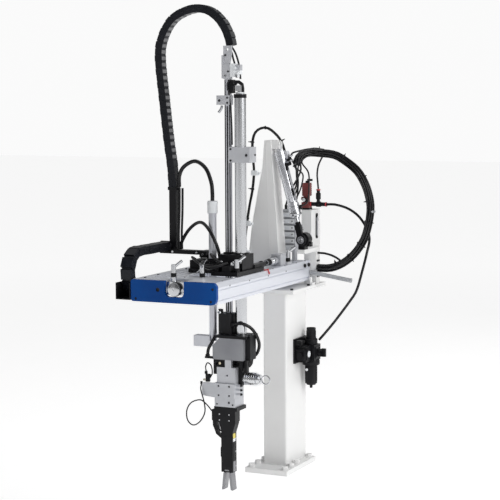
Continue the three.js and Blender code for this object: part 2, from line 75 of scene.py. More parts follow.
def add_light(name, place, aim, size, power):
    data = bpy.data.lights.new(name, "AREA")
    data.shape = "RECTANGLE"
    data.size, data.size_y = size
    data.energy = power
    light = bpy.data.objects.new(name, data)
    light.location = place
    light.rotation_euler = (Vector(aim) - Vector(place)).to_track_quat("-Z", "Y").to_euler()
    bpy.context.scene.collection.objects.link(light)


# Brightness of the studio round the horizon, from -180 to 180 degrees about Z, as white and dark screens give it.
STUDIO_BANDS = [(0.0, 0.75), (0.10, 0.24), (0.26, 0.26), (0.36, 0.55), (0.43, 1.0), (0.53, 1.0), (0.60, 0.72),
                (0.635, 0.10), (0.67, 0.10), (0.70, 0.85), (0.80, 0.55), (0.90, 0.80), (1.0, 0.75)]
STUDIO_STRENGTH = 0.57
BACKDROP = 0.96  # the grey that the camera sees behind everything
LIGHTS = [  # name, place and aim in metres, size in metres, power in watts
    ("key", (4.2, -1.2, 2.8), (0, -0.1, 0.7), (2.6, 3.0), 104),
    ("top", (-0.4, -0.8, 4.2), (0, -0.2, 0.6), (3.0, 3.0), 34),
    ("front", (-2.6, -4.6, 1.8), (0, -0.2, 0.7), (2.4, 2.4), 3),
    ("back", (1.0, 4.0, 2.6), (0, 0.1, 0.7), (3.0, 2.4), 16)]
FLOOR_LEVEL = -0.32  # metres: the arm reaches below the base plate, and the photo shows no contact shadow
FLOOR_GLOW = (0.5, 0.62)  # near and far, so that the floor runs out into the backdrop
FLOOR_REACH = (1.5, 9.0)  # metres from the origin over which the glow grows


def add_studio():
    for row in LIGHTS:
        add_light(*row)
    world = bpy.data.worlds.new("studio")
    world.use_nodes = True
    tree = world.node_tree
    sky = tree.nodes["Background"]
    sky.inputs["Strength"].default_value = STUDIO_STRENGTH
    parts = tree.nodes.new("ShaderNodeSeparateXYZ")
    link(tree, tree.nodes.new("ShaderNodeTexCoord").outputs["Generated"], parts.inputs["Vector"])
    turn = tree.nodes.new("ShaderNodeMath")
    turn.operation = "ARCTAN2"
    link(tree, parts.outputs["Y"], turn.inputs[0])
    link(tree, parts.outputs["X"], turn.inputs[1])
    around = spread(tree, turn.outputs["Value"], 0, 1, -math.pi, math.pi)
    ramp = tree.nodes.new("ShaderNodeValToRGB")
    stops = ramp.color_ramp.elements
    for place, _ in STUDIO_BANDS[1:-1]:
        stops.new(place)
    for stop, (place, level) in zip(stops, STUDIO_BANDS):
        stop.position = place
        stop.color = (level, level, level, 1)
    link(tree, around, ramp.inputs["Fac"])
    link(tree, ramp.outputs["Color"], sky.inputs["Color"])
    backdrop = tree.nodes.new("ShaderNodeBackground")
    backdrop.inputs["Color"].default_value = (BACKDROP, BACKDROP, BACKDROP, 1)
    seen = tree.nodes.new("ShaderNodeMixShader")
    link(tree, tree.nodes.new("ShaderNodeLightPath").outputs["Is Camera Ray"], seen.inputs["Fac"])
    link(tree, sky.outputs["Background"], seen.inputs[1])
    link(tree, backdrop.outputs["Background"], seen.inputs[2])
    link(tree, seen.outputs["Shader"], tree.nodes["World Output"].inputs["Surface"])
    bpy.context.scene.world = world
    bpy.context.scene.view_settings.view_transform = "Standard"
    bpy.ops.mesh.primitive_plane_add(size=60, location=(0, 0, FLOOR_LEVEL))
    floor = bpy.context.object
    floor.name = "floor"
    tree = MATERIALS["floor"].node_tree
    reach = tree.nodes.new("ShaderNodeVectorMath")
    reach.operation = "LENGTH"
    link(tree, tree.nodes.new("ShaderNodeTexCoord").outputs["Object"], reach.inputs[0])
    link(tree, spread(tree, reach.outputs["Value"], *FLOOR_GLOW, *FLOOR_REACH),
         tree.nodes["Principled BSDF"].inputs["Emission Strength"])
    floor.data.materials.append(MATERIALS["floor"])


# ---- materials
def link(tree, a, b):
    tree.links.new(a, b)


def noise(tree, coords, scale, detail=4.0, rough=0.55):
    n = tree.nodes.new("ShaderNodeTexNoise")
    n.inputs["Scale"].default_value = scale
    n.inputs["Detail"].default_value = detail
    n.inputs["Roughness"].default_value = rough
    link(tree, coords, n.inputs["Vector"])
    return n.outputs["Fac"]


def spread(tree, value, low, high, start=0.3, end=0.7):
    r = tree.nodes.new("ShaderNodeMapRange")
    r.inputs["From Min"].default_value = start
    r.inputs["From Max"].default_value = end
    r.inputs["To Min"].default_value = low
    r.inputs["To Max"].default_value = high
    link(tree, value, r.inputs["Value"])
    return r.outputs["Result"]


def shade(tree, value, dark, light, start=0.3, end=0.7):
    ramp = tree.nodes.new("ShaderNodeValToRGB")
    ramp.color_ramp.elements[0].position = start
    ramp.color_ramp.elements[1].position = end
    ramp.color_ramp.elements[0].color = (*dark, 1)
    ramp.color_ramp.elements[1].color = (*light, 1)
    link(tree, value, ramp.inputs["Fac"])
    return ramp.outputs["Color"]


def finish_of(name, dark, light, rough=(0.4, 0.5), metal=0.0, patch=6.0, stretch=(1, 1, 1), grain=900.0,
              bump=0.15, depth=0.0002, coat=0.0, specular=0.5, glow=0.0):
    """A surface with patchy colour and roughness, and a grain stretched along the row's axes."""
    m = bpy.data.materials.new(name)
    m.use_nodes = True
    tree = m.node_tree
    shader = tree.nodes["Principled BSDF"]
    shader.inputs["Metallic"].default_value = metal
    shader.inputs["Coat Weight"].default_value = coat
    shader.inputs["Specular IOR Level"].default_value = specular
    shader.inputs["Emission Color"].default_value = (1, 1, 1, 1)
    shader.inputs["Emission Strength"].default_value = glow
    place = tree.nodes.new("ShaderNodeTexCoord").outputs["Object"]
    mapping = tree.nodes.new("ShaderNodeMapping")
    mapping.inputs["Scale"].default_value = stretch
    link(tree, place, mapping.inputs["Vector"])
    along = mapping.outputs["Vector"]
    link(tree, shade(tree, noise(tree, along, patch), dark, light), shader.inputs["Base Color"])
    link(tree, spread(tree, noise(tree, along, patch * 4), *rough), shader.inputs["Roughness"])
    relief = tree.nodes.new("ShaderNodeBump")
    relief.inputs["Strength"].default_value = bump
    relief.inputs["Distance"].default_value = depth
    link(tree, noise(tree, along, grain, 3.0), relief.inputs["Height"])
    link(tree, relief.outputs["Normal"], shader.inputs["Normal"])
    return m


MATERIALS = {
    "floor": finish_of("studio_floor", (0.90, 0.90, 0.90), (0.92, 0.92, 0.92), (0.8, 0.9), grain=40, bump=0.02,
                       specular=0.0, glow=0.5),
    "white_paint": finish_of("white_powder_coat", (0.80, 0.80, 0.795), (0.86, 0.86, 0.855), (0.34, 0.46), 0.0, 5,
                             grain=700, bump=0.12, specular=0.45),
    "black_paint": finish_of("black_satin_paint", (0.003, 0.003, 0.004), (0.008, 0.008, 0.010), (0.28, 0.44), 0.0,
                             9, grain=1400, bump=0.15, specular=0.22),
    "black_plastic": finish_of("black_moulded_plastic", (0.003, 0.003, 0.004), (0.010, 0.010, 0.012), (0.34, 0.52),
                               0.0, 12, grain=2200, bump=0.3, depth=0.0003, specular=0.22),
    "chain_plastic": finish_of("chain_plastic", (0.003, 0.004, 0.007), (0.011, 0.012, 0.017), (0.28, 0.46), 0.0, 15,
                               grain=1800, bump=0.25, depth=0.0003, specular=0.25),
    "red_coil": finish_of("red_brown_coil", (0.16, 0.035, 0.035), (0.27, 0.06, 0.055), (0.4, 0.55), 0.0, 30,
                          grain=1500, bump=0.3),
    "red_plastic": finish_of("red_plastic", (0.42, 0.02, 0.03), (0.6, 0.04, 0.05), (0.3, 0.4), 0.0, 40),
    "rubber_hose": finish_of("polyurethane_hose", (0.003, 0.003, 0.004), (0.010, 0.010, 0.012), (0.20, 0.34), 0.0,
                             25, grain=900, bump=0.08, coat=0.12, specular=0.3),
    "aluminium_profile": finish_of("anodised_profile", (0.74, 0.76, 0.82), (0.86, 0.88, 0.94), (0.30, 0.42), 0.4,
                                   10, (1, 0.04, 1), 1500, 0.25, 0.0002),
    "arm_profile": finish_of("anodised_rail", (0.50, 0.51, 0.55), (0.66, 0.67, 0.71), (0.25, 0.4), 0.85,
                             10, (1, 1, 0.04), 1500, 0.25, 0.0002),
    "grey_machined": finish_of("blasted_aluminium", (0.24, 0.245, 0.265), (0.31, 0.315, 0.335), (0.42, 0.55), 0.5,
                               14, grain=2600, bump=0.5, depth=0.0003),
    "blue_cap": finish_of("blue_gloss_moulding", (0.0, 0.045, 0.22), (0.0, 0.068, 0.30), (0.14, 0.24), 0.0, 5,
                          grain=500, bump=0.05, specular=0.12),
    "chrome": finish_of("satin_chrome", (0.52, 0.53, 0.55), (0.68, 0.69, 0.71), (0.12, 0.24), 1.0, 14,
                        grain=300, bump=0.04, depth=0.00002),
    "bright_steel": finish_of("ground_steel", (0.50, 0.51, 0.53), (0.70, 0.71, 0.73), (0.14, 0.28), 1.0, 12,
                              (1, 1, 0.05), 300, 0.05, 0.00002),
    "barrel": finish_of("anodised_barrel", (0.62, 0.63, 0.67), (0.76, 0.77, 0.80), (0.20, 0.30), 0.75, 8,
                        grain=300, bump=0.03, depth=0.00002),
    "blade_steel": finish_of("ground_blade", (0.20, 0.20, 0.215), (0.32, 0.32, 0.335), (0.22, 0.36), 0.9, 18,
                             (1, 1, 0.06), 1500, 0.3, 0.0002),
    "link_grey": finish_of("worn_link_grey", (0.10, 0.10, 0.105), (0.17, 0.17, 0.175), (0.4, 0.5), 0.0, 20),
    "light_machined": finish_of("clear_anodised", (0.50, 0.51, 0.54), (0.60, 0.61, 0.64), (0.36, 0.48), 0.45,
                                14, grain=2200, bump=0.3, depth=0.0003),
    "brass": finish_of("nickelled_brass", (0.52, 0.46, 0.34), (0.68, 0.62, 0.48), (0.2, 0.35), 1.0, 30),
    "grey_plastic": finish_of("grey_plastic", (0.34, 0.35, 0.37), (0.45, 0.46, 0.48), (0.4, 0.5), 0.0, 20),
    "white_plastic": finish_of("white_plastic", (0.72, 0.74, 0.76), (0.82, 0.84, 0.86), (0.3, 0.4), 0.0, 30),
    "screw_black": finish_of("black_oxide_screw", (0.012, 0.012, 0.014), (0.03, 0.03, 0.033), (0.25, 0.4), 0.6, 60),
    "yellow_label": finish_of("yellow_label", (0.70, 0.58, 0.10), (0.80, 0.68, 0.16), (0.35, 0.45), 0.0, 60),
}


# ---- meshes
class Piece:
    """A mesh gathered from shapes in millimetres, then put on a body as one piece."""

    def __init__(self):
        self.bm = bmesh.new()

    def quads(self, rings):
        """Skins a row of rings of equal length, each a list of points."""
        made = [[self.bm.verts.new(p) for p in ring] for ring in rings]
        count = len(made[0])
        for a, b in zip(made, made[1:]):
            for i in range(count):
                j = (i + 1) % count
                self.bm.faces.new((a[i], a[j], b[j], b[i]))
        self.bm.faces.new(list(reversed(made[0])))
        self.bm.faces.new(made[-1])
        return self

    def turned(self, base, direction, profile, sides=20):
        """A shape turned about an axis. Profile entries are (radius, height), or (radius, height, 6) for a hexagon."""
        d = Vector(direction).normalized()
        u = d.orthogonal().normalized()
        v = d.cross(u)
        rings = []
        for entry in profile:
            radius, height = max(entry[0], 0.01), entry[1]
            ring = []
            for k in range(sides):
                a = 2 * math.pi * k / sides
                r = radius
                if len(entry) > 2:
                    r = radius * math.cos(math.pi / 6) / math.cos(((a + math.pi / 6) % (math.pi / 3)) - math.pi / 6)
                ring.append(Vector(base) + d * height + (u * math.cos(a) + v * math.sin(a)) * r)
            rings.append(ring)
        return self.quads(rings)

    def cyl(self, a, b, radius, sides=20, chamfer=0.0):
        d = Vector(b) - Vector(a)
        h = d.length
        c = min(chamfer, h / 3, radius / 2)
        profile = [(radius - c, 0), (radius, c), (radius, h - c), (radius - c, h)] if c else [(radius, 0), (radius, h)]
        return self.turned(a, d, profile, sides)

    def box(self, x0, x1, y0, y1, z0, z1):
        ring = [(x0, y0), (x1, y0), (x1, y1), (x0, y1)]
        return self.quads([[Vector((x, y, z)) for x, y in ring] for z in (z0, z1)])

    def bar(self, a, b, width, height, up=Z):
        """A straight bar of rectangular section from a to b. Width is across, height is along up."""
        a, b = Vector(a), Vector(b)
        d = (b - a).normalized()
        side = d.cross(Vector(up)).normalized()
        top = side.cross(d)
        corners = [(-1, -1), (1, -1), (1, 1), (-1, 1)]
        return self.quads([[p + side * (s * width / 2) + top * (t * height / 2) for s, t in corners] for p in (a, b)])

    def prism(self, axis, outline, low, high):
        """An outline given as (y, z), (x, z) or (x, y) points, swept along X, Y or Z."""
        def point(p, h):
            return Vector({"x": (h, *p), "y": (p[0], h, p[1]), "z": (*p, h)}[axis])
        area = sum(a[0] * b[1] - b[0] * a[1] for a, b in zip(outline, outline[1:] + outline[:1]))
        if (area < 0) != (axis == "y"):
            outline = outline[::-1]
        return self.quads([[point(p, h) for p in outline] for h in (low, high)])

    def tube(self, route, radius, sides):
        return self.quads(sweep_rings(smooth_line(route), radius, sides))

    def screw(self, base, direction, radius, height):
        """A cap screw with a hexagon socket."""
        return self.turned(base, direction, [
            (radius, 0), (radius, height * 0.85), (radius * 0.9, height), (radius * 0.52, height, 6),
            (radius * 0.5, height * 0.4, 6), (0, height * 0.35)], 18)

    def tie(self, place, along, radius, tail=Z, length=9):
        """A cable tie round a hose: a band, its head and the cut tail."""
        d = Vector(along).normalized()
        out = Vector(tail) - d * d.dot(Vector(tail))
        out.normalize()
        p = Vector(place)
        self.turned(p - d * 2, d, [(radius * 0.9, 0), (radius + 1.1, 0.2), (radius + 1.1, 3.8), (radius * 0.9, 4)], 16)
        side = d.cross(out)
        head = p + out * (radius + 1.5)
        self.bar(head - side * 3, head + side * 3, 5.0, 4.5, d)
        self.bar(head, head + out * length, 2.4, 1.0, side)
        return self

    def done(self, name, material, body=None, bevel=0.0, replaces=()):
        """Makes the object and puts it on its body, or on none where no body is given."""
        bmesh.ops.remove_doubles(self.bm, verts=self.bm.verts, dist=1e-4)
        bmesh.ops.recalc_face_normals(self.bm, faces=self.bm.faces)
        bmesh.ops.scale(self.bm, vec=(MM, MM, MM), verts=self.bm.verts)
        mesh = bpy.data.meshes.new(name)
        self.bm.to_mesh(mesh)
        self.bm.free()
        obj = bpy.data.objects.new(name, mesh)
        bpy.context.scene.collection.objects.link(obj)
        obj.data.materials.append(MATERIALS[material])
        soften(obj, bevel, PIECE_ANGLE)
        if body:
            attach(obj, body)
        if replaces:
            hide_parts(*replaces)
        return obj


PIECE_ANGLE = 35  # degrees: edges sharper than this stay sharp and may be bevelled
CAD_ANGLE = 32


def soften(obj, bevel, angle):
    """Smooth shading with sharp edges above an angle, and a bevel in millimetres on those edges."""
    for p in obj.data.polygons:
        p.use_smooth = True
    obj.data.set_sharp_from_angle(angle=math.radians(angle))
    if bevel:
        m = obj.modifiers.new("edges", "BEVEL")
        m.width = bevel * MM
        m.segments = 2
        m.limit_method = "ANGLE"
        m.angle_limit = math.radians(angle)
        m.harden_normals = False


def smooth_line(route, steps=None):
    """Catmull-Rom points through a route, evenly spread, in millimetres."""
    pts = [Vector(p) for p in route]
    if len(pts) == 2:
        return pts
    ends = [pts[0] * 2 - pts[1], *pts, pts[-1] * 2 - pts[-2]]
    dense = []
    for a, b, c, d in zip(ends, ends[1:], ends[2:], ends[3:]):
        for k in range(12):
            t = k / 12
            dense.append(0.5 * ((2 * b) + (c - a) * t + (2 * a - 5 * b + 4 * c - d) * t * t
                                + (3 * b - a - 3 * c + d) * t ** 3))
    dense.append(pts[-1])
    lengths = [0.0]
    for a, b in zip(dense, dense[1:]):
        lengths.append(lengths[-1] + (b - a).length)
    count = steps or max(4, round(lengths[-1] / 12))
    line, j = [], 0
    for k in range(count + 1):
        want = lengths[-1] * k / count
        while j < len(dense) - 2 and lengths[j + 1] < want:
            j += 1
        span = lengths[j + 1] - lengths[j]
        line.append(dense[j].lerp(dense[j + 1], (want - lengths[j]) / span if span else 0))
    return line


def frames_along(line):
    """(point, tangent, side) along a line, the side carried on without twist."""
    out, side = [], None
    for i, p in enumerate(line):
        t = (line[min(i + 1, len(line) - 1)] - line[max(i - 1, 0)]).normalized()
        side = t.orthogonal() if side is None else side - t * side.dot(t)
        side.normalize()
        out.append((p, t, side.copy()))
    return out


def sweep_rings(line, radius, sides):
    rings = []
    for p, t, side in frames_along(line):
        up = t.cross(side)
        rings.append([p + (side * math.cos(a) + up * math.sin(a)) * radius
                      for a in (2 * math.pi * k / sides for k in range(sides))])
    return rings


# ---- hoses and cables
def length_of(line):
    return sum((b - a).length for a, b in zip(line, line[1:])) * MM


def bend(obj, a, b, start, end):
    """Bakes a piece's placement into its mesh; the piece is not bent. Bodies a and b and places start and end are not
    used.
    """
    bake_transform(obj)


def hose(name, route, radius, body, replaces=(), material="rubber_hose",
         between=None, steps=36):
    """A hose along a route, on a body, or on no body when between=(a, b, start, end) is given."""
    line = smooth_line(route, steps)
    piece = Piece()
    piece.quads(sweep_rings(line, radius, 12))
    obj = piece.done(name, material, None if between else body, replaces=replaces)
    if between:
        bend(obj, *between)
    return obj


BUNDLE = [[40, 46, 965], [40, 60, 987], [55, 85, 1001], [86, 110, 1000], [132, 130, 993], [168, 140, 971],
          [205, 145, 939], [230, 150, 892], [243, 150, 844], [243, 150, 809], [235, 150, 765], [221, 150, 723],
          [191, 150, 680], [152, 150, 648], [110, 150, 631], [65, 150, 629]]
SUPPLY = [[93, 97, 402], [112, 93, 422], [150, 95, 468], [195, 105, 531], [215, 112, 566], [231, 120, 628],
          [241, 132, 682], [238, 164, 726], [223, 172, 762], [197, 174, 796], [162, 170, 820], [121, 164, 832],
          [92.3, 163, 832]]
RISER = [[62, 163, 881], [60, 162, 905], [60, 158, 930], [68, 148, 956], [82, 134, 975]]
HARNESS = [[-4, 50, 1000], [-12, 46, 1030], [-28, 38, 1057], [-56, 22, 1080], [-84, 8, 1070], [-94, 0, 1040],
           [-93, -4, 994], [-88, -6, 941], [-92, -8, 884], [-102, -10, 830], [-110, -14, 775], [-115, -20, 720],
           [-118, -30, 674]]
LIFT_HOSE = [[-212, -276, 906], [-211, -276, 940], [-194, -278, 968], [-153, -284, 985], [-115, -290, 965],
             [-94, -295, 924], [-89, -297, 890], [-89, -297, 868]]
CARRIAGE_HOSE = [[-214, -270, 716], [-206, -272, 740], [-183, -276, 773], [-150, -287, 797], [-118, -306, 801],
                 [-88, -322, 782], [-67, -327, 751], [-59, -321, 724], [-59, -310, 698], [-60, -305, 667]]
RETURN = [[63, 156, 675], [88, 156, 674], [114, 155, 668], [136, 153, 658], [150, 151, 647]]
ARCH = [[-10, -318, 501], [4, -322, 505], [23, -318, 504], [42, -304, 490], [54, -292, 465], [56, -280, 438],
        [45, -270, 412], [30, -264, 399]]
WRIST_HOSE = [[-66, -330, 466], [-74, -335, 447], [-84, -340, 426], [-86, -342, 408]]
SENSOR = [[-104, -349, 320], [-103, -356, 306], [-96, -360, 288], [-88, -362, 264], [-86, -364, 236],
          [-102, -364, 208], [-125, -364, 195], [-145, -362, 208], [-148, -361, 238], [-134, -358, 262],
          [-106, -355, 272], [-90, -351, 262], [-81, -344, 249], [-75, -339, 238]]


def strand(route, angle, offset, twist, steps=40):
    """A line that winds round a route at a distance from it."""
    rows = frames_along(smooth_line(route, steps))
    out = []
    for i, (p, t, side) in enumerate(rows):
        a = angle + twist * i / steps
        out.append(p + (side * math.cos(a) + t.cross(side) * math.sin(a)) * offset)
    return out


BUNDLE_SWING = ("beam", "pedestal", (55, 100, 965), (55, 100, 640))


def add_hoses():
    for k, (angle, offset, radius) in enumerate([(0, 0, 3.4), (0.2, 7.2, 3.3), (1.3, 7.4, 3.0), (2.3, 7.0, 3.6),
                                                 (3.4, 7.4, 3.0), (4.4, 7.2, 3.4), (5.4, 7.5, 3.0)]):
        line = strand(BUNDLE, angle, offset, 2.6)
        hose(f"bundle_hose_{k}", line, radius, None, ["hose_bundle"] if k == 0 else (), between=BUNDLE_SWING, steps=44)
    for k, (angle, offset, twist) in enumerate([(0.3, 11.5, -1.7), (2.4, 12.5, 1.5), (4.5, 12.0, -2.3)]):
        line = strand(BUNDLE, angle, offset, twist)
        hose(f"bundle_outer_{k}", line, 2.8, None, between=BUNDLE_SWING, steps=44)
    hose("return_hose", RETURN, 3.6, "pedestal", steps=20)
    hose("supply_hose", SUPPLY, 4.2, "pedestal", ["hose_supply"], steps=44)
    hose("riser_hose", RISER + [[94, 123, 988], [104, 118, 997]], 2.9, None, ["hose_riser"],
         between=("pedestal", "beam", (60, 160, 885), (80, 138, 968)), steps=16)
    for k, (angle, offset) in enumerate([(0.5, 2.6), (2.6, 2.6), (4.7, 2.6)]):
        hose(f"harness_cable_{k}", strand(HARNESS, angle, offset, 5), 2.1, "beam",
             ["fin_harness"] if k == 0 else (), steps=44)
    hose("lift_hose", LIFT_HOSE, 6, "carriage", ["hose_lift"])
    hose("carriage_hose", CARRIAGE_HOSE, 5.2, "carriage", ["hose_carriage"])
    hose("arch_hose", ARCH, 5, "arm", ["hose_arch"], steps=24)
    hose("wrist_hose", WRIST_HOSE, 5, "arm", ["hose_wrist"], steps=12)
    hose("sensor_cord", SENSOR, 2, None, ["sensor_cable"],
         between=("arm", "wrist", (-95, -356, 300), (-82, -345, 250)), steps=52)


# ---- energy chains
def chain(name, route, pitch, height, width, across, between, node, bars, worn):
    """A solid core with side plates, pin bosses and cross bars for each link, along a line. Bars is the bars' share
    of the pitch, and worn gives the links with a paler pad on each face."""
    count = round(length_of(smooth_line(route)) / MM / pitch)
    line = smooth_line(route, count * 2)
    inset = 3.4  # mm from the outer faces to the core
    plate = 2.6  # mm thick
    w = Vector(across)
    piece, pads = Piece(), Piece()
    core = []
    for i, p in enumerate(line):
        t = (line[min(i + 1, len(line) - 1)] - line[max(i - 1, 0)]).normalized()
        up = w.cross(t).normalized() * (height / 2 - inset)
        reach = w * (width / 2 - inset)
        core.append([p - reach - up, p + reach - up, p + reach + up, p - reach + up])
    piece.quads(core)
    for k in range(count):
        a, m, b = line[2 * k], line[2 * k + 1], line[2 * k + 2]
        t = (b - a).normalized()
        up = w.cross(t).normalized()
        half = (b - a).length / 2
        odd = k % 2
        for side in (-1, 1):
            outer = width / 2 if odd else width / 2 - 0.8
            h = height / 2 - (0 if odd else 0.5)
            reach = half + 0.5
            corner = [(-reach, -h * 0.8), (-reach + 1.5, -h), (reach - 1.5, -h), (reach, -h * 0.8)]
            outline = corner + [(-x, -y) for x, y in corner]
            piece.quads([[m + t * x + up * y + w * (side * d) for x, y in outline] for d in (outer - plate, outer)])
            piece.turned(a + w * (side * (width / 2 - 0.4)), w * side, [(3.6, 0), (3.6, 0.8), (2.8, 1.2)], 12)
        for face in (-1, 1):
            centre = m + up * (face * (height / 2 - 1.5))
            piece.bar(centre - t * half * bars, centre + t * half * bars, width - 3, 3.0, up)
            if k in worn.get(face, ()):
                centre += up * (face * 1.1)
                pads.bar(centre - t * half * 0.5, centre + t * half * 0.5, width - 2, 1.6, up)
    bend(piece.done(name, "chain_plastic", bevel=0.35, replaces=[node]), *between)
    if worn:
        bend(pads.done(f"{name}_pads", "link_grey", bevel=0.3), *between)


def add_chains():
    vertical = [[-232, 906], [-237, 972], [-248, 1048], [-262, 1169], [-275, 1296], [-265, 1356], [-234, 1406],
                [-193, 1431], [-145, 1441], [-100, 1430], [-64, 1399], [-42, 1360], [-34, 1329]]
    chain("vertical_chain", [(x, -272, z) for x, z in vertical], 20, 24, 29, Y,
          ("carriage", "arm", (-228, -272, 1200), (-42, -272, 1200)), "chain_vertical", 0.9,
          {1: range(4, 30), -1: range(46, 61)})
    turn = [(-460 + 57 * math.cos(a), 668 + 57 * math.sin(a)) for a in (math.pi * (0.5 + k / 6) for k in range(7))]
    flat = [(-288, 725), (-350, 725), (-420, 725), *turn, (-420, 611), (-330, 611), (-240, 611), (-152, 611)]
    chain("horizontal_chain", [(-257, y, z) for y, z in flat], 32, 26, 37, X,
          ("beam", "carriage", (-257, -300, 613), (-257, -300, 723)), "chain_horizontal", 0.97, {})


# ---- CAD nodes and their finishes
CAD_FINISH = {
    "white_paint": ["base_plate", "column", "head_plate", "head_block", "fin"],
    "black_paint": ["eye_bracket", "carriage_block", "chain_arm", "foot_plate", "wrist_frame", "gripper_body"],
    "black_plastic": ["frl_body", "frl_knob", "air_tee", "dump_lever", "chain_tray", "shock_rod"],
    "red_coil": ["dump_valve"],
    "aluminium_profile": ["beam_side_right", "beam_side_left", "deck_front", "deck_rear", "back_plate"],
    "arm_profile": ["arm_rail", "lift_tube"],
    "grey_machined": ["wrist_cover"],
    "light_machined": ["valve_manifold", "rear_stop", "arm_head", "tube_clamp", "rail_clamp", "wrist_block",
                       "wrist_mid", "turn_block"],
    "grey_plastic": ["hose_bar"],
    "blue_cap": ["end_cap"],
    "chrome": ["front_stop", "front_lever", "deck_lever", "rear_lever", "carriage_lever", "rail_clamp_lever",
               "pull_ring", "plunger_body", "swing_rod"],
    "bright_steel": ["arm_tube"],
    "barrel": ["swing_barrel"],
    "blade_steel": ["jaw_left", "jaw_right"],
}
EDGE = {"base_plate": 1.2, "column": 0, "fin": 1.0, "end_cap": 1.6, "jaw_left": 0.2, "jaw_right": 0.2,
        "pull_ring": 0, "swing_barrel": 0.5, "rail_clamp_lever": 0}


def dress_cad():
    for material, names in CAD_FINISH.items():
        for name in names:
            obj = nodes[name]
            obj.data.materials.clear()
            obj.data.materials.append(MATERIALS[material])
            width = EDGE.get(name, 0.6)
            if width:
                flat = obj.modifiers.new("flat", "DECIMATE")
                flat.decimate_type = "DISSOLVE"
                flat.angle_limit = math.radians(1)
            soften(obj, width, CAD_ANGLE)


# ---- beam details
def add_beam_details():
    screws = Piece()
    for x, z in [(-216, 596), (28, 598), (34, 634)]:
        screws.screw((x, -541.3, z), -Y, 3.6, 3.2)
    for y in (90, 122):
        screws.screw((44, y, 639), X, 6.2, 5)
    for y in (-500, -420, -240, -150, -60, 30, 100):
        screws.screw((-209, y, 652), Z, 3.4, 2.2)
        screws.screw((37, y + 12, 652), Z, 2.2, 1)
    screws.done("beam_screws", "screw_black", "beam", bevel=0.2)
    dots = Piece()
    for y in (-453, -320, -187, -54):
        dots.turned((43.9, y, 636), X, [(2.4, 0), (2.4, 0.5), (1.7, 0.6), (1.5, 0.2), (0, 0.2)], 14)
    dots.done("beam_dots", "screw_black", "beam")
    disc = Piece().turned((-93, -541.8, 627), -Y, [(18.8, 0), (18.8, 1.2), (17.6, 2), (3.2, 2), (2.6, 1.4), (2.4, 0.4),
                                         (0, 0.4)], 40)
    disc.turned((-67, -531, 624), -Y, [(5.5, 0), (5.5, 4), (4.5, 5)], 20)
    disc.done("stop_disc", "chrome", "beam")
    ring = Piece()
    ring.turned((-143, -544.2, 625), -Y, [(7.6, -2), (7.6, 0.5), (6.6, 0.7), (5.2, 0), (5.2, -6), (0, -6)], 24)
    ring.turned((-93, -530, 627), -Y, [(21, 0), (21, 3), (20, 4)], 36)
    ring.done("cap_grommet", "screw_black", "beam")
    strip = Piece()
    for x in (-193, -168, -143):
        strip.box(x - 3.4, x - 0.6, -530, 125, 648.4, 649)
    strip.box(-125, 29.5, -405.6, -403, 647, 652.4)
    strip.box(-125, 29.5, -265, -262.6, 647, 652.4)
    strip.done("deck_seams", "screw_black", "beam")
    red = Piece().bar((36, -196, 653.5), (41, -178, 655.5), 3.2, 2.2)
    red.bar((41.5, -186, 655), (43.5, -178, 644), 3, 2.2, Y)
    red.turned((43, -179, 646), -Z, [(3, 0), (3.2, 3), (2, 6)], 12)
    red.tube([(14, -214, 657), (24, -210, 660), (32, -204, 656), (37, -195, 654.5)], 1.2, 8)
    red.done("red_marker", "red_plastic", "beam")


def add_collars():
    table = [("front_clamp", -108, -512, 660), ("deck_clamp", -60, -424, 652), ("rear_clamp", 24, 4, 660),
             ("carriage_clamp", 29, -376, 666)]
    for body, x, y, z in table:
        Piece().turned((x, y, z + 0.6), Z, [(7.6, 0), (8.2, 1), (8.2, 10.6), (7.4, 11.6)], 24).done(
            f"{body}_collar", "black_plastic", body)
        Piece().turned((x, y, z + 35.8), Z, [(6.4, 0), (6, 0.8), (4, 1.4), (3.6, 0.9), (0, 0.9)], 24).done(
            f"{body}_button", "grey_plastic", body)


SHOCK_X, SHOCK_Z = 12, 669  # the shock absorber's axis, which lies along Y


def add_shock_absorber():
    sleeve = Piece()
    for k in range(7):
        y = -110 - 2.9 * k
        sleeve.turned((SHOCK_X, y, SHOCK_Z), -Y, [(8.8, 0), (9.6, 0.7), (9.6, 1.6), (8.8, 2.3)], 24)
    sleeve.turned((SHOCK_X, -166, SHOCK_Z), -Y, [(9.4, 0), (9.4, 7), (8, 8.6), (3, 8.8)], 24)
    sleeve.done("absorber_bellows", "black_plastic", "beam")
    nuts = Piece()
    for y, r in ((-62, 14.5), (-82, 14)):
        nuts.turned((SHOCK_X, y, SHOCK_Z), -Y, [(r - 0.8, 0, 6), (r, 0.9, 6), (r, 5.6, 6), (r - 0.8, 6.4)], 24)
    for k in range(9):
        nuts.turned((SHOCK_X, -90 - 2.1 * k, SHOCK_Z), -Y, [(11.1, 0), (11.6, 0.5), (11.6, 1), (11.1, 1.5)], 28)
    nuts.done("absorber_nuts", "chrome", "beam", bevel=0.2)


def add_fin_details():
    fold = Piece().bar((-38, 3.7, 664), (-50, 3.7, 1032), 1.4, 0.8, Y)
    fold.done("fin_fold", "white_paint", "beam", bevel=0.2)
    clips = Piece()
    for x, y, z in ((-88, -6, 938), (-110, -14, 778), (-117, -26, 690)):
        clips.box(x - 8, x + 13, y - 5, y + 5, z - 8, z + 8)
        clips.box(x + 10, x + 20, y - 2, y + 8, z - 6, z + 3)
    clips.done("harness_clips", "white_plastic", "beam", bevel=0.8)
    ties = Piece()
    line = smooth_line(HARNESS, 40)
    for k, tail in ((3, X), (8, -Y), (13, -X), (17, -X), (24, -X), (31, -X)):
        ties.tie(line[k], line[k + 1] - line[k - 1], 4.8, tail)
    ties.done("harness_ties", "black_plastic", "beam")


